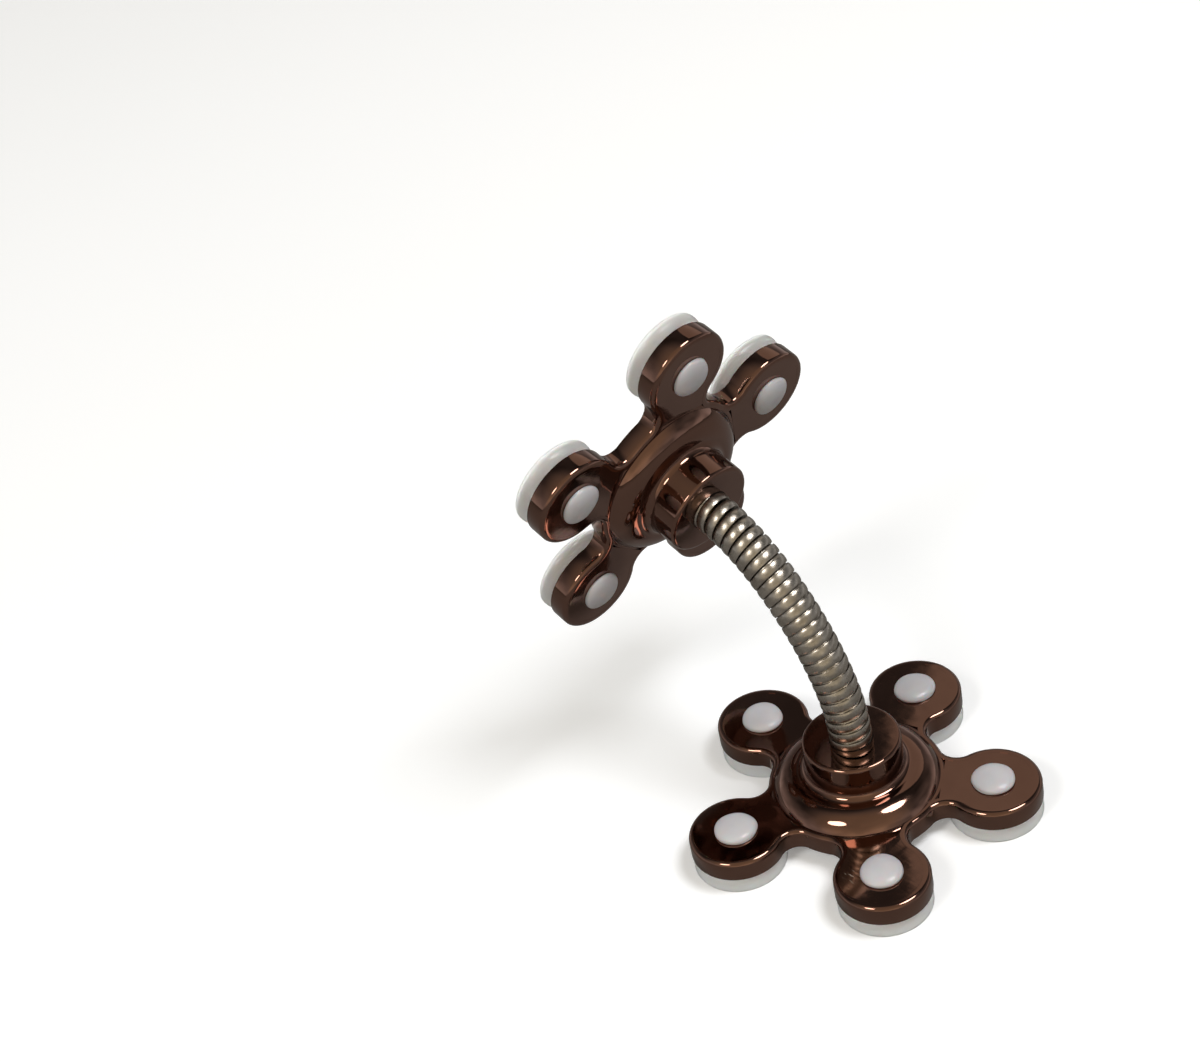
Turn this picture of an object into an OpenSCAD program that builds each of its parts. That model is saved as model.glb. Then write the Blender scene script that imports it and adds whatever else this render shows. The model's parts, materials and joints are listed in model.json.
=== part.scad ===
// Phone holder with two five-petal suction plates joined by a short wound gooseneck.
// The lower plate sticks to a table, the upper one to the back of a phone.
// Origin: centre of the lower plate, on the plane of its cups' rims. The neck leans toward -Y.

/* [Plate] */
// Number of petals on each plate
petal_count = 5; // [3:1:6]
// Radius of the circle through the petals' centres
petal_circle_r = 21.7; // [18:0.1:30]
// Radius of one petal
petal_r = 7.6; // [6:0.1:10]
// Radius of the plate between two petals
waist_r = 14.3; // [12:0.1:17]
// Radius of the inside corner between a petal and the waist
notch_r = 3; // [1.5:0.1:5]
// Thickness of the plate
plate_t = 3.4; // [2.4:0.1:5]
// Rounding of the plate's upper edge
plate_edge_r = 0.8; // [0.3:0.1:1.2]
// Height of the plate's underside above the cups' rims
stand_off = 2.85; // [1.8:0.05:5]

/* [Hub] */
// Radius of the hub's swelling where it meets the plate
hub_r = 13.3; // [11:0.1:15]
// Height of the swelling above the plate
hub_h = 2.7; // [1.5:0.1:4]
// Radius of the swelling's rounded shoulder
hub_round_r = 4.5; // [3:0.1:6]
// Radius of the collar that the neck comes out of
collar_r = 7.9; // [6:0.1:10]
// Height of the collar's top above the plate
collar_h = 8.7; // [6:0.1:12]
// Rounding of the collar's rim
collar_edge_r = 0.6; // [0.2:0.1:1.2]
// Radius of the hollow corner at the collar's foot
collar_foot_r = 1.2; // [0.5:0.1:2]
// Wall of the hub over its cored underside
hub_wall = 1.7; // [1.2:0.1:2.5]
// Radius of the boss inside the hub
boss_r = 5.3; // [4.6:0.1:6]
// Thickness of the ribs between the boss and the hub's wall
rib_t = 1.2; // [0.8:0.1:2]

/* [Cups] */
// Radius of a suction cup's rim
cup_rim_r = 7.5; // [5:0.1:10]
// Radius of the cup's top under the petal
cup_top_r = 5.2; // [3:0.1:7]
// Depth of the hollow under the cup
cup_hollow_h = 1.25; // [0.5:0.05:2]
// Radius of the stem through the petal
stem_r = 2.2; // [1.5:0.1:3]
// Radius of the stud head that holds the cup in the petal
stud_r = 3.45; // [2.6:0.05:5]
// Height of the stud head
stud_h = 1.45; // [0.8:0.05:2.5]

/* [Neck] */
// Number of turns that show between the two collars
turn_count = 25; // [12:1:26]
// Outer radius of the neck
neck_r = 3.45; // [2.8:0.05:4.5]
// Height of one turn, where turns lie against each other
turn_pitch = 1.64; // [1.3:0.02:2.4]
// How far a turn's outer face bulges
turn_crown = 0.25; // [0.1:0.05:0.4]
// Radius of the wire that is wound inside
core_wire_r = 0.42; // [0.3:0.01:0.6]
// Angle between the two collars
neck_bend = 73.6; // [0:0.1:100]
// Extra bend of the neck's ends, as a share of the bend at its middle
end_bend_share = 1.15; // [0:0.05:2]
// Turns of the coil hidden in each collar
hidden_turns = 3; // [2:1:3]
// Turn of the upper plate about the neck, from petals in line with the lower ones
head_roll = 7; // [-36:1:36]

/* [Fixings] */
// Radius of the retaining screw's shank
screw_r = 1.2; // [1:0.05:1.4]
// Radius of the retaining screw's head
screw_head_r = 2.4; // [1.8:0.1:3]
// Height of the retaining screw's head
screw_head_h = 1.5; // [1:0.1:2]

/* [Hidden] */
$fn = 96;
// How far a cutter runs past what it cuts
over = 1;
// Clearance round a piece that sits in a hole
seat_gap = 0.05;
// Clearance round the coil, which turns in its socket
turning_gap = 0.08;
// Space left between turns that lie against each other
turn_gap = 0.06;

plate_top = stand_off + plate_t;
collar_top = plate_top + collar_h;
hub_crest = plate_top + hub_h;
petal_step = 360 / petal_count;
// Centre of the shoulder's arc
shoulder_z = hub_crest - hub_round_r;
shoulder_x = hub_r - sqrt(pow(hub_round_r, 2) - pow(plate_top - shoulder_z, 2));

// A notch's fillet runs into the waist's circle and the petal's circle by a hair
fillet_bite = 0.06;
notch_to_axis = waist_r + notch_r - fillet_bite;
notch_to_petal = petal_r + notch_r - fillet_bite;
notch_x = (pow(notch_to_axis, 2) - pow(notch_to_petal, 2) + pow(petal_circle_r, 2)) / (2 * petal_circle_r);
notch_y = sqrt(pow(notch_to_axis, 2) - pow(notch_x, 2));

// The coil: a wedge-shaped outer wire, and a round inner wire in the groove between its turns
turn_w = turn_pitch - turn_gap;
turn_edge_r = neck_r - turn_crown;
turn_depth = 1.15;
turn_root_r = neck_r - turn_depth;
turn_root_w = 0.3;
core_wire_inset = 0.85;
core_wire_x = neck_r - core_wire_inset;
// The inner wire lies against the turn below it and clears the one above
core_wire_drop = 0.08;
// Hidden turns are pressed together, so the inner wire fills their groove
closed_wire_r = core_wire_r + core_wire_drop;
crown_arc_r = (pow(turn_w / 2, 2) + pow(turn_crown, 2)) / (2 * turn_crown);

// The coil's socket in the collar, and the plug under the coil with a spigot up its middle
socket_r = neck_r + turning_gap;
coil_end = collar_top - hidden_turns * turn_pitch;
plug_t = 2;
plug_cap_t = 1.6;
spigot_gap = 0.12;
spigot_recess = 0.4;
plug_top = coil_end - turning_gap;
plug_bottom = plug_top - plug_t;
spigot_r = core_wire_x - closed_wire_r - spigot_gap;
spigot_top = collar_top - spigot_recess;
plug_hole_end = spigot_top - plug_cap_t;

// The screw from below: its head sits under the web that closes the socket
web_t = 1.6;
web_bottom = plug_bottom - web_t;
screw_end_gap = 0.5;
screw_end = plug_hole_end - screw_end_gap;
screw_head_bottom = web_bottom - screw_head_h;
screw_head_edge = 0.4;
driver_gap = 0.7;
recess_r = screw_head_r + driver_gap;
cross_l = 2.6;
cross_w = 0.7;
cross_d = 0.8;

// The cup: a thin rim with a flat ring on the table, and a stud head with a short straight side
rim_t = 0.45;
rim_round = 0.12;
rim_ring_w = 0.45;
stud_side = 0.35;
stud_undercut = 0.15;
// Steps of the curves that are drawn through points
curve_step = 10;
arc_steps = 5;

// Where the neck bends: one hinge line between each two turns, on the side toward -Y
hinge_r = turn_edge_r;
gap_count = turn_count - 1;
function gap_weight(i) = 1 + end_bend_share * pow(2 * i / turn_count - 1, 2);
function sum(list, i = 0) = i < len(list) ? list[i] + sum(list, i + 1) : 0;
gap_total = sum([for (i = [1 : gap_count]) gap_weight(i)]);
function gap_angle(i) = neck_bend * gap_weight(i) / gap_total;

lower_petals = [for (i = [1 : petal_count]) str("base_cup_", i)];
upper_petals = [for (i = [1 : petal_count]) str("head_cup_", i)];
function turn_name(i) = str("neck_turn_", i < 10 ? "0" : "", i);

plating = [0.20, 0.12, 0.10];
steel = [0.62, 0.60, 0.56];
brass = [0.70, 0.58, 0.34];
clear_soft = [0.86, 0.87, 0.88];

// Places its children on turn i, whose own Z is the neck's centre line there
module on_turn(i) {
    if (i == 1)
        translate([0, 0, collar_top + turn_pitch / 2]) children();
    else
        on_turn(i - 1)
            translate([0, -hinge_r, turn_pitch / 2])
                rotate([gap_angle(i - 1), 0, 0])
                    translate([0, hinge_r, turn_pitch / 2]) children();
}

// Places its children in the lower plate's frame, with the first petal toward -Y
module in_base() {
    rotate([0, 0, -90]) children();
}

// Places its children in the upper plate's frame, which faces back along the neck
module in_head() {
    on_turn(turn_count)
        translate([0, 0, turn_pitch / 2 + collar_top])
            rotate([180, 0, 90 + head_roll]) children();
}

module on_petal(i) {
    rotate([0, 0, -(i - 1) * petal_step]) translate([petal_circle_r, 0, 0]) children();
}

function arc(x, z, r, from, to) = [
    for (i = [0 : arc_steps])
        let (a = from + (to - from) * i / arc_steps) [x + r * cos(a), z + r * sin(a)]
];

// Half section of a disc with its upper edge rounded
module rounded_disc_section(r, bottom, top, edge) {
    polygon(concat([[0, top], [0, bottom], [r, bottom]], arc(r - edge, top - edge, edge, 0, 90)));
}

// Takes away what lies beyond the fillet of an inside corner, and rounds its upper edge
module notch_cutter() {
    ring_r = notch_r + plate_edge_r;
    rotate_extrude() polygon(concat(
        [[0, plate_top + over], [0, stand_off - over], [notch_r, stand_off - over]],
        arc(ring_r, plate_top - plate_edge_r, plate_edge_r, 180, 90),
        [[ring_r, plate_top + over]]
    ));
}

// The arm that joins a petal to the hub, with a fillet at each side
module arm() {
    root_inset = 0.67;
    arm_root = (waist_r - root_inset) / notch_x;
    difference() {
        translate([0, 0, stand_off]) linear_extrude(height = plate_t)
            polygon([
                arm_root * [notch_x, notch_y], [notch_x, notch_y], [petal_circle_r, 0],
                [notch_x, -notch_y], arm_root * [notch_x, -notch_y]
            ]);
        for (side = [-1, 1])
            translate([notch_x, side * notch_y, 0]) notch_cutter();
    }
}

// The plate without its bores
module plate_blank() {
    rotate_extrude() {
        rounded_disc_section(waist_r, stand_off, plate_top, plate_edge_r);
        hub_section();
    }
    for (i = [1 : petal_count]) {
        on_petal(i) rotate_extrude() rounded_disc_section(petal_r, stand_off, plate_top, plate_edge_r);
        rotate([0, 0, -(i - 1) * petal_step]) arm();
    }
}

// Half section of the hub: a swelling with a round shoulder, and a collar on it
module hub_section() {
    hub_root = plate_top - over;
    translate([0, hub_root]) square([shoulder_x, hub_crest - hub_root]);
    intersection() {
        translate([shoulder_x, shoulder_z]) circle(hub_round_r);
        translate([shoulder_x - over, hub_root]) square([hub_round_r + 2 * over, hub_crest - hub_root]);
    }
    rounded_disc_section(collar_r, hub_root, collar_top, collar_edge_r);
    polygon(concat(
        [[collar_r - over, hub_crest + collar_foot_r], [collar_r - over, hub_crest - over],
         [collar_r + collar_foot_r, hub_crest - over]],
        arc(collar_r + collar_foot_r, hub_crest + collar_foot_r, collar_foot_r, 270, 180)
    ));
}

// The cored space under the hub, between its wall and the boss
module hub_core() {
    core_top = hub_crest - hub_wall;
    core_r = shoulder_x + hub_round_r - hub_wall;
    difference() {
        rotate_extrude() polygon([
            [boss_r, stand_off - over], [core_r, stand_off - over], [core_r, shoulder_z],
            [shoulder_x, core_top], [boss_r, core_top]
        ]);
        for (i = [1 : petal_count])
            rotate([0, 0, -(i - 1) * petal_step])
                translate([0, -rib_t / 2, 0]) cube([hub_r, rib_t, collar_top]);
    }
}

module plate() {
    difference() {
        plate_blank();
        hub_core();
        translate([0, 0, plug_bottom]) cylinder(r = socket_r, h = collar_top);
        cylinder(r = screw_r + seat_gap, h = collar_top);
        translate([0, 0, -over]) cylinder(r = recess_r, h = web_bottom + over);
        for (i = [1 : petal_count])
            on_petal(i) cylinder(r = stem_r + seat_gap, h = collar_top);
    }
}

// One soft moulding: cup, stem and stud head
module cup() {
    ring_r = cup_rim_r - rim_round - rim_ring_w;
    hollow = [for (a = [90 : -curve_step : 0]) [ring_r * cos(a), cup_hollow_h * sin(a)]];
    flare = [for (a = [0 : curve_step : 90])
        [cup_rim_r - (cup_rim_r - cup_top_r) * (1 - cos(a)), rim_t + (stand_off - rim_t) * sin(a)]];
    stud = [for (a = [0 : curve_step : 90])
        [stud_r * cos(a), plate_top + stud_side + (stud_h - stud_side) * sin(a)]];
    rotate_extrude() polygon(concat(
        hollow,
        [[cup_rim_r - rim_round, 0], [cup_rim_r, rim_round]],
        flare,
        [[stem_r, stand_off], [stem_r, plate_top], [stud_r - stud_undercut, plate_top]],
        stud
    ));
}

// Wedge section of the outer wire, its broad crowned side outward
module turn_section() {
    intersection() {
        polygon([
            [neck_r + over, -turn_w / 2], [neck_r + over, turn_w / 2], [turn_edge_r, turn_w / 2],
            [turn_root_r, turn_root_w / 2], [turn_root_r, -turn_root_w / 2], [turn_edge_r, -turn_w / 2]
        ]);
        translate([neck_r - crown_arc_r, 0]) circle(crown_arc_r);
    }
}

module turn() {
    rotate_extrude() {
        turn_section();
        translate([core_wire_x, turn_pitch / 2 - core_wire_drop]) circle(core_wire_r);
    }
}

// The coil's end in a collar: closed turns that run down from the first one that shows
module coil_tail() {
    rotate_extrude()
        for (i = [1 : hidden_turns]) {
            translate([0, -i * turn_pitch]) turn_section();
            translate([core_wire_x, (0.5 - i) * turn_pitch]) circle(closed_wire_r);
        }
}

module neck_turn(i) {
    color(steel) on_turn(i) {
        if (i < turn_count) turn();
        else rotate_extrude() turn_section();
        if (i == 1) coil_tail();
        if (i == turn_count) mirror([0, 0, 1]) coil_tail();
    }
}

// Plug that carries the coil's end and takes the retaining screw
module neck_plug() {
    difference() {
        union() {
            translate([0, 0, plug_bottom]) cylinder(r = neck_r, h = plug_t);
            translate([0, 0, plug_bottom]) cylinder(r = spigot_r, h = spigot_top - plug_bottom);
        }
        translate([0, 0, plug_bottom - over]) cylinder(r = screw_r, h = plug_hole_end - plug_bottom + over);
    }
}

// Pan-headed screw with a cross recess, driven from below
module screw() {
    difference() {
        union() {
            translate([0, 0, web_bottom]) cylinder(r = screw_r - seat_gap / 2, h = screw_end - web_bottom);
            rotate_extrude() {
                translate([0, screw_head_bottom])
                    square([screw_head_r - screw_head_edge, screw_head_h]);
                translate([0, screw_head_bottom + screw_head_edge])
                    square([screw_head_r, screw_head_h - screw_head_edge]);
                translate([screw_head_r - screw_head_edge, screw_head_bottom + screw_head_edge])
                    circle(screw_head_edge);
            }
        }
        for (a = [0, 90])
            rotate([0, 0, a]) translate([-cross_l / 2, -cross_w / 2, screw_head_bottom - over])
                cube([cross_l, cross_w, cross_d + over]);
    }
}

module base_plate() { color(plating) in_base() plate(); }
module head_plate() { color(plating) in_head() plate(); }
module base_cup(i) { color(clear_soft) in_base() on_petal(i) cup(); }
module head_cup(i) { color(clear_soft) in_head() on_petal(i) cup(); }
module base_neck_plug() { color(brass) neck_plug(); }
module head_neck_plug() { color(brass) in_head() neck_plug(); }
module base_screw() { color(steel) screw(); }
module head_screw() { color(steel) in_head() screw(); }

base_plate();
for (i = [1 : petal_count])
    base_cup(i);
base_neck_plug();
base_screw();
for (i = [1 : turn_count])
    neck_turn(i);
head_neck_plug();
head_screw();
head_plate();
for (i = [1 : petal_count])
    head_cup(i);
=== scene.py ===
"""Looks of the phone holder: materials, coil, soft cups, studio light and the photograph's camera."""

import json
import math

import bpy
from mathutils import Matrix, Vector

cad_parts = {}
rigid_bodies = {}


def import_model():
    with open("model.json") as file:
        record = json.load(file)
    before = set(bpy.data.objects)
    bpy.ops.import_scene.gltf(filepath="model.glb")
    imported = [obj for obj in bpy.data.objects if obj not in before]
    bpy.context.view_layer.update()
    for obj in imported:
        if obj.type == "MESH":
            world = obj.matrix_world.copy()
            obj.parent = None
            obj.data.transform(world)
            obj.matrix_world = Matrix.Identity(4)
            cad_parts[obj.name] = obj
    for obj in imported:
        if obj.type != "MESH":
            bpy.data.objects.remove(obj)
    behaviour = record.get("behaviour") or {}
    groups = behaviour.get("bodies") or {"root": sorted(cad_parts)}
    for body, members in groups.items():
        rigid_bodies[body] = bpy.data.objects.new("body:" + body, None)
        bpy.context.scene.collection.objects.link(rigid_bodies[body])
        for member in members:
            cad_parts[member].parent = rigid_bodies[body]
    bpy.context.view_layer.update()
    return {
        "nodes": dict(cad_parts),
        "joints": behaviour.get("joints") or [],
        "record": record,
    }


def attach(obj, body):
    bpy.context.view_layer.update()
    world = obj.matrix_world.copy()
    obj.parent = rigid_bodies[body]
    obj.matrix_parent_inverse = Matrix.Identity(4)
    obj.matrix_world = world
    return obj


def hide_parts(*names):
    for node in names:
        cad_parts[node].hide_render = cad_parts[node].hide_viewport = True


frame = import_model()
MM = 0.001

# Camera, solved from the photograph together with both plates and the neck
CAMERA_PLACE = (0.18606, 0.22278, 0.28599)
CAMERA_RIGHT = (-0.7390, 0.6509, -0.1736)
CAMERA_FORWARD = (-0.4402, -0.6617, -0.6069)
SENSOR_W = 36.0
LENS = 74.96
NEAREST, FARTHEST = 0.01, 20.0


def place_camera():
    right = Vector(CAMERA_RIGHT).normalized()
    forward = Vector(CAMERA_FORWARD)
    forward = (forward - forward.dot(right) * right).normalized()
    up = right.cross(forward)
    turn = Matrix((right, up, -forward)).transposed().to_4x4()
    data = bpy.data.cameras.new("camera")
    data.sensor_fit = "HORIZONTAL"
    data.sensor_width = SENSOR_W
    data.lens = LENS
    data.clip_start = NEAREST
    data.clip_end = FARTHEST
    camera = bpy.data.objects.new("camera", data)
    bpy.context.scene.collection.objects.link(camera)
    camera.matrix_world = Matrix.Translation(Vector(CAMERA_PLACE)) @ turn
    bpy.context.scene.camera = camera


# Node helpers

class Tree:
    """The node tree of a material or world, with short calls for the nodes that are used here."""

    def __init__(self, owner, coordinates, shader, output):
        owner.use_nodes = True
        self.owner = owner
        self.nodes = owner.node_tree.nodes
        self.links = owner.node_tree.links
        self.nodes.clear()
        self.shader = self.nodes.new(shader)
        self.links.new(self.shader.outputs[0], self.nodes.new(output).inputs["Surface"])
        self.place = self.nodes.new("ShaderNodeTexCoord").outputs[coordinates]

    def set(self, **values):
        for key, value in values.items():
            self.shader.inputs[key.replace("_", " ")].default_value = value

    def link(self, source, key):
        self.links.new(source, self.shader.inputs[key])

    def noise(self, scale, detail=2.0, rough=0.5, place=None):
        node = self.nodes.new("ShaderNodeTexNoise")
        node.inputs["Scale"].default_value = scale
        node.inputs["Detail"].default_value = detail
        node.inputs["Roughness"].default_value = rough
        self.links.new(place or self.place, node.inputs["Vector"])
        return node.outputs["Fac"]

    def scratches(self, scale, squeeze, turn):
        """Noise drawn out into streaks, which are turned about Z."""
        drawn = self.nodes.new("ShaderNodeMapping")
        drawn.inputs["Rotation"].default_value = (0.0, 0.0, turn)
        drawn.inputs["Scale"].default_value = (1.0, squeeze, 1.0)
        self.links.new(self.place, drawn.inputs["Vector"])
        return self.noise(scale, 3.0, 0.6, drawn.outputs["Vector"])

    def ramp(self, source, low, high, start=0.0, end=1.0, smooth=False):
        node = self.nodes.new("ShaderNodeMapRange")
        if smooth:
            node.interpolation_type = "SMOOTHSTEP"
        node.inputs["From Min"].default_value = low
        node.inputs["From Max"].default_value = high
        node.inputs["To Min"].default_value = start
        node.inputs["To Max"].default_value = end
        self.links.new(source, node.inputs["Value"])
        return node.outputs["Result"]

    def mix(self, factor, first, second):
        """Mixes two colours, each a tuple or a socket."""
        node = self.nodes.new("ShaderNodeMix")
        node.data_type = "RGBA"
        for socket, value in zip(node.inputs[6:8], (first, second)):
            if isinstance(value, tuple):
                socket.default_value = (*value, 1.0)
            else:
                self.links.new(value, socket)
        self.links.new(factor, node.inputs["Factor"])
        return node.outputs[2]

    def math(self, operation, first, second, clamp=False):
        """Joins two values, each a number or a socket."""
        node = self.nodes.new("ShaderNodeMath")
        node.operation = operation
        node.use_clamp = clamp
        for socket, value in zip(node.inputs, (first, second)):
            if isinstance(value, (int, float)):
                socket.default_value = value
            else:
                self.links.new(value, socket)
        return node.outputs[0]

    def measure(self, operation, vector):
        """The place's distance from a point, or its dot product with a direction."""
        node = self.nodes.new("ShaderNodeVectorMath")
        node.operation = operation
        node.inputs[1].default_value = vector
        self.links.new(self.place, node.inputs[0])
        return node.outputs["Value"]

    def bump(self, source, height, strength, under=None):
        node = self.nodes.new("ShaderNodeBump")
        node.inputs["Strength"].default_value = strength
        node.inputs["Distance"].default_value = height
        self.links.new(source, node.inputs["Height"])
        if under is not None:
            self.links.new(under, node.inputs["Normal"])
        return node.outputs["Normal"]


def new_material(name):
    return Tree(bpy.data.materials.new(name), "Object", "ShaderNodeBsdfPrincipled",
                "ShaderNodeOutputMaterial")


# Materials

# Middle of the worn patch beside the front petal's stud, and where its marks are full and gone
SCRATCHED = (15.9 * MM, 14.5 * MM, 6.25 * MM)
MARKS_FULL, MARKS_GONE = 1.1 * MM, 1.9 * MM


def plating_material():
    tree = new_material("bronze_plating")
    tree.set(Metallic=1.0)
    patch = tree.noise(90, 3.0, 0.6)
    tint = tree.mix(tree.ramp(patch, 0.3, 0.7), (0.185, 0.100, 0.075), (0.215, 0.120, 0.090))
    near = tree.ramp(tree.measure("DISTANCE", SCRATCHED), MARKS_GONE, MARKS_FULL)
    streak = tree.ramp(tree.scratches(1500, 0.16, 2.3), 0.57, 0.60)
    mark = tree.math("MULTIPLY", streak, near)
    tree.link(tree.mix(mark, tint, (0.72, 0.64, 0.58)), "Base Color")
    polish = tree.ramp(tree.noise(400, 4.0, 0.7), 0.35, 0.75, 0.04, 0.12)
    tree.link(tree.math("ADD", polish, tree.math("MULTIPLY", mark, 0.3)), "Roughness")
    wave = tree.bump(tree.noise(140, 1.0, 0.4), 0.06 * MM, 0.5)
    hairline = tree.scratches(900, 0.06, 0.6)
    tree.link(tree.bump(hairline, 0.004 * MM, 0.5, wave), "Normal")
    return tree.owner


def coil_material():
    tree = new_material("nickel_wire")
    tree.set(Metallic=1.0)
    stain = tree.ramp(tree.noise(500, 4.0, 0.65), 0.35, 0.7)
    tree.link(tree.mix(stain, (0.31, 0.275, 0.235), (0.46, 0.42, 0.37)), "Base Color")
    tree.link(tree.ramp(tree.noise(1500, 3.0, 0.6), 0.3, 0.7, 0.24, 0.36), "Roughness")
    tree.link(tree.bump(tree.noise(2500, 2.0, 0.5), 0.008 * MM, 0.6), "Normal")
    return tree.owner


# Heights over the rims' plane up to which a cup is clear, and from which it is milky
CLEAR_BELOW, MILKY_ABOVE = 2.6 * MM, 6.0 * MM


def cup_material(name, centre, outward):
    """The stud's head is milky. The cup itself, towards its rim, is clearer."""
    tree = new_material(name)
    tree.set(IOR=1.45, Coat_Weight=0.15, Coat_Roughness=0.1)
    tree.set(Subsurface_Weight=0.25, Subsurface_Scale=2.0 * MM)
    cloud = tree.ramp(tree.noise(200, 2.0, 0.5), 0.3, 0.7)
    milky = tree.mix(cloud, (0.53, 0.53, 0.57), (0.60, 0.60, 0.63))
    tree.link(tree.ramp(tree.noise(900, 3.0, 0.6), 0.3, 0.7, 0.28, 0.38), "Roughness")
    along = tree.math("SUBTRACT", tree.measure("DOT_PRODUCT", outward), centre.dot(outward))
    tree.link(tree.ramp(along, -MILKY_ABOVE, -CLEAR_BELOW, 0.10, 0.72), "Transmission Weight")
    clear = tree.ramp(along, -MILKY_ABOVE, -CLEAR_BELOW)
    tree.link(tree.mix(clear, milky, (0.93, 0.93, 0.92)), "Base Color")
    tree.link(tree.bump(tree.noise(260, 1.0, 0.4), 0.03 * MM, 0.25), "Normal")
    return tree.owner


def plain_metal(name, low, high, roughness):
    tree = new_material(name)
    tree.set(Metallic=1.0)
    tree.link(tree.mix(tree.ramp(tree.noise(600, 3.0, 0.6), 0.3, 0.7), low, high), "Base Color")
    worn = roughness + 0.12
    tree.link(tree.ramp(tree.noise(1800, 2.0, 0.6), 0.3, 0.7, roughness, worn), "Roughness")
    return tree.owner


# Floor's own light where the camera sees it, and painted light where it is seen through a cup, which
# lifts the shade under the plates
SEEN_GLOW, PAINTED_LIGHT_THROUGH_CUPS = 0.20, 0.45


def floor_material():
    """White to the camera, and whiter still through the cups with painted light; grey in reflections
    and bounced light, as painted shade for a shaded table round the object.
    """
    tree = new_material("pale_floor")
    tree.set(Roughness=0.8, Specular_IOR_Level=0.2, Emission_Color=(1.0, 1.0, 1.0, 1.0))
    path = tree.nodes.new("ShaderNodeLightPath").outputs
    camera, through = path["Is Camera Ray"], path["Is Transmission Ray"]
    pale = tree.mix(tree.noise(6, 2.0), (0.90, 0.925, 0.96), (0.92, 0.945, 0.98))
    seen = tree.math("MAXIMUM", camera, through)
    # Painted shade: the floor is grey wherever it isn't seen straight from the camera or through a cup,
    # which darkens its reflections in the plating
    tree.link(tree.mix(seen, (0.26, 0.26, 0.26), pale), "Base Color")
    # Painted light: seen through a cup, the floor glows more than it does to the camera, so the shade
    # under the plates is lifted
    glow = tree.math("ADD", tree.math("MULTIPLY", camera, SEEN_GLOW),
                     tree.math("MULTIPLY", through, PAINTED_LIGHT_THROUGH_CUPS))
    tree.link(glow, "Emission Strength")
    return tree.owner


WELD_GAP = 0.002 * MM
CORNER_ANGLE = 40
FLATS_WEIGHT = 90


def smooth_steps(node):
    """Shades the stepped roundings as one curve, and keeps flats flat and corners sharp."""
    node.modifiers.new("join", "WELD").merge_threshold = WELD_GAP
    node.modifiers.new("corners", "EDGE_SPLIT").split_angle = math.radians(CORNER_ANGLE)
    node.modifiers.new("curves", "WEIGHTED_NORMAL").weight = FLATS_WEIGHT


def paint(name, material):
    slots = frame["nodes"][name].data.materials
    slots.clear()
    slots.append(material)


# Stage

FLOOR_HALF = 3.0
LAMP_AIM = (0.0, -0.02, 0.03)
# World light straight up and at the horizon, and the warm zone on the camera's side
ZENITH, HORIZON, HORIZON_POWER = 0.05, 0.65, 2.5
WARM_SIDE, WARMTH, WARM_HUE = (0.50, 0.50, 0.70), 0.42, (1.0, 0.88, 0.66)


def area_lamp(name, place, size, watts, colour=(1.0, 1.0, 1.0)):
    data = bpy.data.lights.new(name, "AREA")
    data.shape = "DISK"
    data.size = size
    data.energy = watts
    data.color = colour
    lamp = bpy.data.objects.new(name, data)
    bpy.context.scene.collection.objects.link(lamp)
    lamp.location = place
    lamp.rotation_euler = (Vector(LAMP_AIM) - Vector(place)).to_track_quat("-Z", "Y").to_euler()


def lay_floor():
    mesh = bpy.data.meshes.new("floor")
    corners = [(-FLOOR_HALF, -FLOOR_HALF, 0), (FLOOR_HALF, -FLOOR_HALF, 0),
               (FLOOR_HALF, FLOOR_HALF, 0), (-FLOOR_HALF, FLOOR_HALF, 0)]
    mesh.from_pydata(corners, [], [(0, 1, 2, 3)])
    mesh.materials.append(floor_material())
    floor = bpy.data.objects.new("floor", mesh)
    bpy.context.scene.collection.objects.link(floor)


def light_world():
    """A room that is bright at the horizon and dark above, in soft patches, with one warm zone."""
    tree = Tree(bpy.data.worlds.new("studio"), "Generated", "ShaderNodeBackground",
                "ShaderNodeOutputWorld")
    bpy.context.scene.world = tree.owner
    split = tree.nodes.new("ShaderNodeSeparateXYZ")
    tree.links.new(tree.place, split.inputs[0])
    depth = tree.math("SUBTRACT", 1.0, split.outputs["Z"], clamp=True)
    level = tree.ramp(tree.math("POWER", depth, HORIZON_POWER), 0.0, 1.0, ZENITH, HORIZON)
    patches = tree.ramp(tree.noise(2.2, 1.0), 0.38, 0.62, 0.6, 1.4)
    warm = tree.ramp(tree.measure("DOT_PRODUCT", WARM_SIDE), 0.40, 0.88, smooth=True)
    strength = tree.math("ADD", tree.math("MULTIPLY", level, patches),
                         tree.math("MULTIPLY", warm, WARMTH))
    tree.link(tree.mix(warm, (1.0, 1.0, 1.0), WARM_HUE), "Color")
    tree.link(strength, "Strength")


def studio():
    bpy.context.scene.view_settings.view_transform = "Standard"
    lay_floor()
    light_world()
    area_lamp("key", (-0.263, 0.362, 0.977), 0.40, 6.3)
    area_lamp("fill", (0.70, 0.10, 0.75), 0.30, 2.9, colour=(1.0, 0.97, 0.92))
    # Shows as the brown zone in the flat petals
    area_lamp("back_card", (-0.293, -0.140, 0.324), 0.256, 0.074, colour=(1.0, 0.88, 0.74))


# Shapes, with their sizes in mm, as in the CAD

SHARP_ANGLE = 50


def mesh_piece(name, points, faces, material, body, node):
    """Makes a piece that rides on a body, and stands for a CAD node where one is given."""
    mesh = bpy.data.meshes.new(name)
    mesh.from_pydata(points, [], faces)
    mesh.materials.append(material)
    mesh.validate()
    mesh.update()
    for polygon in mesh.polygons:
        polygon.use_smooth = True
    mesh.set_sharp_from_angle(angle=math.radians(SHARP_ANGLE))
    piece = bpy.data.objects.new(name, mesh)
    bpy.context.scene.collection.objects.link(piece)
    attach(piece, body)
    if node:
        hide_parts(node)


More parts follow.
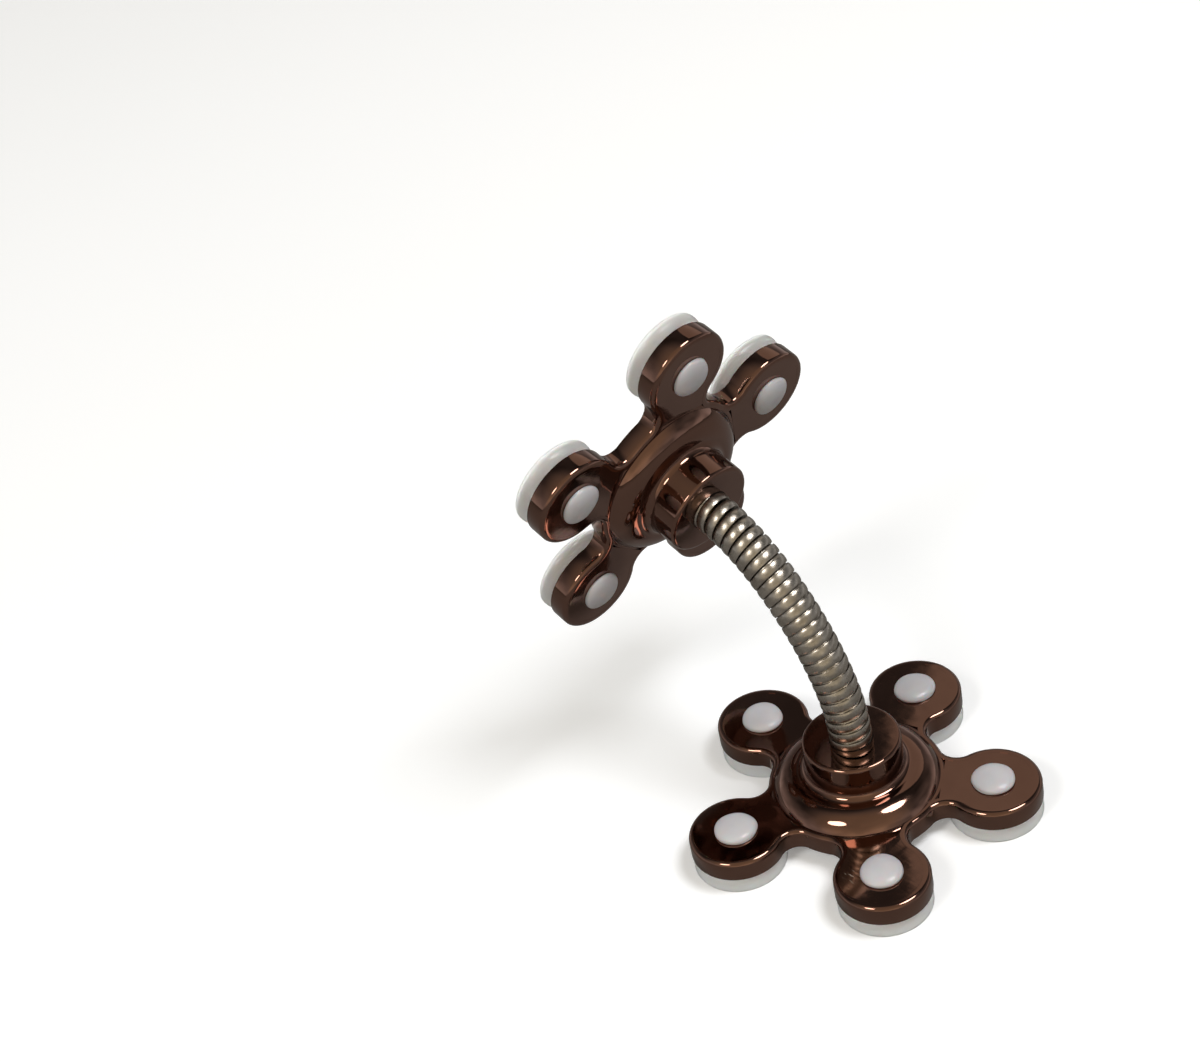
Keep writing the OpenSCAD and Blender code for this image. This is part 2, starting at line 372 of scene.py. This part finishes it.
def sweep(rings, points, faces):
    """Adds a closed tube through the rings of points, with a cap at each end."""
    start, count = len(points), len(rings[0])
    for ring in rings:
        points.extend(ring)
    for i in range(len(rings) - 1):
        low, high = start + i * count, start + (i + 1) * count
        for j in range(count):
            k = (j + 1) % count
            faces.append((low + j, low + k, high + k, high + j))
    faces.append(tuple(start + j for j in reversed(range(count))))
    faces.append(tuple(start + (len(rings) - 1) * count + j for j in range(count)))


# Neck

NECK_R, HINGE_R = 3.45, 3.2
TURN_GAP, CROWN, CROWN_POWER = 0.06, 0.15, 2.6
# Outer wire: how much of the turn its face takes, and the wedge's blunt root
FACE_SHARE, FACE_STEPS, FACE_INSET = 0.98, 12, 0.05
ROOT_R, ROOT_HALF = 2.3, 0.15
# Inner wire
WIRE_R, WIRE_SIDES, CORE_X, CORE_DROP = 0.42, 12, 2.6, 0.08
TAIL_TURNS = 3
STEPS = 72
# Share of a turn left open between one turn's wire and the next
SEAM = 0.001


def neck_frames(joints):
    """Centre and axes of each turn at rest, from the hinges above and below it, and the pitch."""
    bends = sorted((joint for joint in joints
                    if joint["parent"].startswith("turn_") and joint["child"].startswith("turn_")),
                   key=lambda joint: joint["parent"])
    first = next(joint for joint in joints if joint["name"] == "neck_direction")
    last = next(joint for joint in joints if joint["name"] == "head_direction")
    hinges = [Vector(joint["pos_m"]) for joint in bends]
    pitch = (hinges[1] - hinges[0]).length
    x = Vector((1.0, 0.0, 0.0))
    frames = []
    for i in range(len(hinges) + 1):
        if i == 0:
            z = Vector(first["axis"])
            centre = Vector(first["pos_m"]) + z * pitch / 2
        elif i == len(hinges):
            z = Vector(last["axis"])
            centre = Vector(last["pos_m"]) - z * pitch / 2
        else:
            z = (hinges[i] - hinges[i - 1]).normalized()
            centre = (hinges[i] + hinges[i - 1]) / 2 + z.cross(x) * HINGE_R * MM
        frames.append((centre, x, z.cross(x), z))
    return frames, pitch / MM


def wedge_section(pitch):
    """Outer wire's section as radius and height: a crowned face over a wedge."""
    half = (pitch - TURN_GAP) / 2
    face = []
    for i in range(FACE_STEPS + 1):
        share = FACE_SHARE * math.sin(math.pi * (i / FACE_STEPS - 0.5))
        face.append((NECK_R - CROWN * abs(share) ** CROWN_POWER, half * share))
    shoulder = HINGE_R - FACE_INSET
    return [(shoulder, -half)] + face + [(shoulder, half), (ROOT_R, ROOT_HALF), (ROOT_R, -ROOT_HALF)]


def round_section(centre_r, height):
    angles = [2 * math.pi * i / WIRE_SIDES for i in range(WIRE_SIDES)]
    return [(centre_r + WIRE_R * math.cos(a), height + WIRE_R * math.sin(a)) for a in angles]


def wind(axes, pitch, section, low, high, points, faces):
    """Winds a section as a helix from turn low to turn high, seam on the side the neck leans to."""
    centre, x, y, z = axes
    rings = []
    for i in range(round((high - low) * STEPS) + 1):
        turn = min(max(low + i / STEPS, low + SEAM), high - SEAM)
        angle = 2 * math.pi * turn - math.pi / 2
        out = x * math.cos(angle) + y * math.sin(angle)
        rise = (turn - 0.5) * pitch
        rings.append([centre + (out * radius + z * (height + rise)) * MM for radius, height in section])
    sweep(rings, points, faces)


def make_neck(joints, material):
    """The end turns also carry the closed turns that are hidden in the collars."""
    frames, pitch = neck_frames(joints)
    wedge = wedge_section(pitch)
    core = round_section(CORE_X, pitch / 2 - CORE_DROP)
    for i, axes in enumerate(frames, 1):
        low, high, core_high = 0, 1, 1
        if i == 1:
            low = -TAIL_TURNS
        if i == len(frames):
            high, core_high = 1 + TAIL_TURNS, TAIL_TURNS
        points, faces = [], []
        wind(axes, pitch, wedge, low, high, points, faces)
        wind(axes, pitch, core, low, core_high, points, faces)
        mesh_piece(f"coil_turn_{i:02d}", points, faces, material, f"turn_{i:02d}",
                   f"neck_turn_{i:02d}")


# Plates

PETALS = 5
PETAL_CIRCLE_R, PETAL_R, WAIST_R, NOTCH_R = 21.7, 7.6, 14.3, 3.0
STAND_OFF, PLATE_T, EDGE_R, LOW_EDGE_R = 2.85, 3.4, 0.8, 0.15
PLATE_TOP = STAND_OFF + PLATE_T
# How far the skin stands off the plate, and how far it reaches in over its faces
BAND_LIFT, BAND_W = 0.012, 1.3
ARC_STEP, NOTCH_STEP = 4.0, 9.0


def outline_arc(centre, r, start, end, outward, step):
    """Points and outward directions along an arc, without its last point."""
    count = max(2, round(abs(end - start) / step))
    points = []
    for i in range(count):
        angle = math.radians(start + (end - start) * i / count)
        direction = Vector((math.cos(angle), math.sin(angle)))
        points.append((centre + direction * r, direction * outward))
    return points


def plate_outline():
    """The closed outline of five petals, with a fillet to the waist at each side of a petal."""
    axis, petal = WAIST_R + NOTCH_R, PETAL_R + NOTCH_R
    x = (axis ** 2 - petal ** 2 + PETAL_CIRCLE_R ** 2) / (2 * PETAL_CIRCLE_R)
    y = math.sqrt(axis ** 2 - x ** 2)
    to_petal = math.degrees(math.atan2(y, x - PETAL_CIRCLE_R))
    to_axis = math.degrees(math.atan2(y, x))
    one = (outline_arc(Vector((x, -y)), NOTCH_R, 180 - to_axis, 180 - to_petal, -1, NOTCH_STEP)
           + outline_arc(Vector((PETAL_CIRCLE_R, 0)), PETAL_R, -to_petal, to_petal, 1, ARC_STEP)
           + outline_arc(Vector((x, y)), NOTCH_R, to_petal - 180, to_axis - 180, -1, NOTCH_STEP)
           + outline_arc(Vector((0, 0)), WAIST_R, to_axis, 360 / PETALS - to_axis, 1, ARC_STEP))
    points = []
    for i in range(PETALS):
        turn = Matrix.Rotation(2 * math.pi * i / PETALS, 2)
        points += [(turn @ point, turn @ direction) for point, direction in one]
    return points


def quarter(count):
    """Angles of a quarter turn in so many steps."""
    return [math.pi / 2 * i / count for i in range(count + 1)]


def band_section():
    """How far out from the outline and how high: up the wall, with both edges rounded."""
    top, bottom = PLATE_TOP + BAND_LIFT, STAND_OFF - BAND_LIFT
    low_edge = [(BAND_LIFT - LOW_EDGE_R * (1 - math.sin(a)), bottom + LOW_EDGE_R * (1 - math.cos(a)))
                for a in quarter(3)]
    high_edge = [(BAND_LIFT - EDGE_R * (1 - math.cos(a)), top - EDGE_R * (1 - math.sin(a)))
                 for a in quarter(9)]
    return [(-BAND_W, bottom)] + low_edge + high_edge + [(-BAND_W, top)]


def make_edge_band(side, origin, up, first, material):
    """A skin over the plate's wall and rounded edge, whose fillets run out smoothly at the waist."""
    across = up.cross(first)
    outline, section = plate_outline(), band_section()
    points, faces = [], []
    for point, direction in outline:
        for out, height in section:
            spot = point + direction * out
            points.append(origin + (first * spot.x + across * spot.y + up * height) * MM)
    count, width = len(outline), len(section)
    for i in range(count):
        here, there = i * width, (i + 1) % count * width
        for j in range(width):
            k = (j + 1) % width
            faces.append((here + j, there + j, there + k, here + k))
    mesh_piece(f"{side}_edge_band", points, faces, material, side, None)


# Cups

CUP_RIM_R, CUP_TOP_R, HOLLOW_H, RING_W, RIM_T = 7.5, 5.2, 1.25, 0.5, 0.45
STEM_R, STUD_R, STUD_H, STUD_SIDE, DOME_POWER = 2.2, 3.45, 1.45, 0.3, 0.9
# The rim's lip, and the stud head's undercut over the plate, each as steps in and heights
LIP = ((0.20, 0.0), (0.08, 0.04), (0.02, 0.14), (0.0, 0.28))
UNDERCUT = ((0.18, 0.0), (0.05, 0.1))
CUP_STEPS = 96
# Lobes round the stud head, how far they stand out as a share of its radius, and their phase
WOBBLES = ((2, 0.022, 2.4), (3, 0.014, 4.1), (5, 0.006, 1.3))
WOBBLE_INSET = 0.015
# Keeps the upper plate's stud heads unlike the lower plate's
HEAD_SEED = 7


def cup_profile():
    """Half section from the hollow's middle round the rim and the stem to the stud's top."""
    ring = CUP_RIM_R - RING_W
    hollow = [(ring * math.sin(a), HOLLOW_H * math.cos(a)) for a in quarter(14)]
    flare = [(CUP_RIM_R - (CUP_RIM_R - CUP_TOP_R) * (1 - math.cos(a)),
              RIM_T + (STAND_OFF - RIM_T) * math.sin(a)) for a in quarter(12)]
    dome = [(STUD_R * math.cos(a) ** DOME_POWER,
             PLATE_TOP + STUD_SIDE + (STUD_H - STUD_SIDE) * math.sin(a)) for a in quarter(16)]
    lip = [(CUP_RIM_R - inset, height) for inset, height in LIP]
    stem = [(STEM_R, STAND_OFF), (STEM_R, PLATE_TOP)]
    undercut = [(STUD_R - inset, PLATE_TOP + height) for inset, height in UNDERCUT]
    return hollow + lip + flare + stem + undercut + dome


def stud_wobble(angle, height, seed):
    """The soft stud heads aren't quite round, and no two are alike."""
    share = min(max((height - PLATE_TOP) / STUD_SIDE, 0.0), 1.0)
    wave = sum(size * math.sin(lobes * angle + phase * seed) for lobes, size, phase in WOBBLES)
    return 1.0 + share * (wave - WOBBLE_INSET)


def make_cup(side, index, origin, up, first, material):
    profile = cup_profile()
    across = up.cross(first)
    turn = -2 * math.pi * (index - 1) / PETALS
    centre = origin + (first * math.cos(turn) + across * math.sin(turn)) * PETAL_CIRCLE_R * MM
    seed = index + (HEAD_SEED if side == "head" else 0)
    points = [centre + up * profile[0][1] * MM]
    for radius, height in profile[1:-1]:
        for j in range(CUP_STEPS):
            angle = 2 * math.pi * j / CUP_STEPS
            out = first * math.cos(angle) + across * math.sin(angle)
            reach = radius * stud_wobble(angle, height, seed)
            points.append(centre + (out * reach + up * height) * MM)
    points.append(centre + up * profile[-1][1] * MM)
    rows = len(profile) - 2
    last = 1 + (rows - 1) * CUP_STEPS
    faces = []
    for j in range(CUP_STEPS):
        k = (j + 1) % CUP_STEPS
        faces.append((0, 1 + k, 1 + j))
        for i in range(rows - 1):
            low, high = 1 + i * CUP_STEPS, 1 + (i + 1) * CUP_STEPS
            faces.append((low + j, low + k, high + k, high + j))
        faces.append((last + j, last + k, len(points) - 1))
    mesh_piece(f"{side}_soft_cup_{index}", points, faces, material, side, f"{side}_cup_{index}")


# Object

place_camera()
studio()
bronze = plating_material()
nickel = coil_material()
brass = plain_metal("plug_brass", (0.62, 0.47, 0.24), (0.72, 0.57, 0.32), 0.22)
zinc = plain_metal("screw_zinc", (0.52, 0.52, 0.52), (0.66, 0.66, 0.67), 0.2)
mounts = {mount["name"]: mount for mount in frame["record"]["mounts"]}
# The plane of each plate's cup rims, a cup's place on it, and the cups' material
planes, rims, cups = {}, {}, {}
for side, key in (("base", "base"), ("head", "phone")):
    plane = mounts[key + "_suction_plane"]
    planes[side] = (Vector(plane["pos_m"]), Vector(plane["axis"]))
    rims[side] = Vector(mounts[key + "_cup_rim"]["pos_m"])
    cups[side] = cup_material(side + "_cup", *planes[side])

for name in frame["nodes"]:
    if name.endswith("_plate"):
        paint(name, bronze)
        smooth_steps(frame["nodes"][name])
    elif "_cup_" in name:
        paint(name, cups[name.split("_")[0]])
    elif "plug" in name:
        paint(name, brass)
    elif "screw" in name:
        paint(name, zinc)
    else:
        paint(name, nickel)

make_neck(frame["joints"], nickel)
for side, (origin, outward) in planes.items():
    first = (rims[side] - origin).normalized()
    make_edge_band(side, origin, -outward, first, bronze)
    for index in range(1, PETALS + 1):
        make_cup(side, index, origin, -outward, first, cups[side])
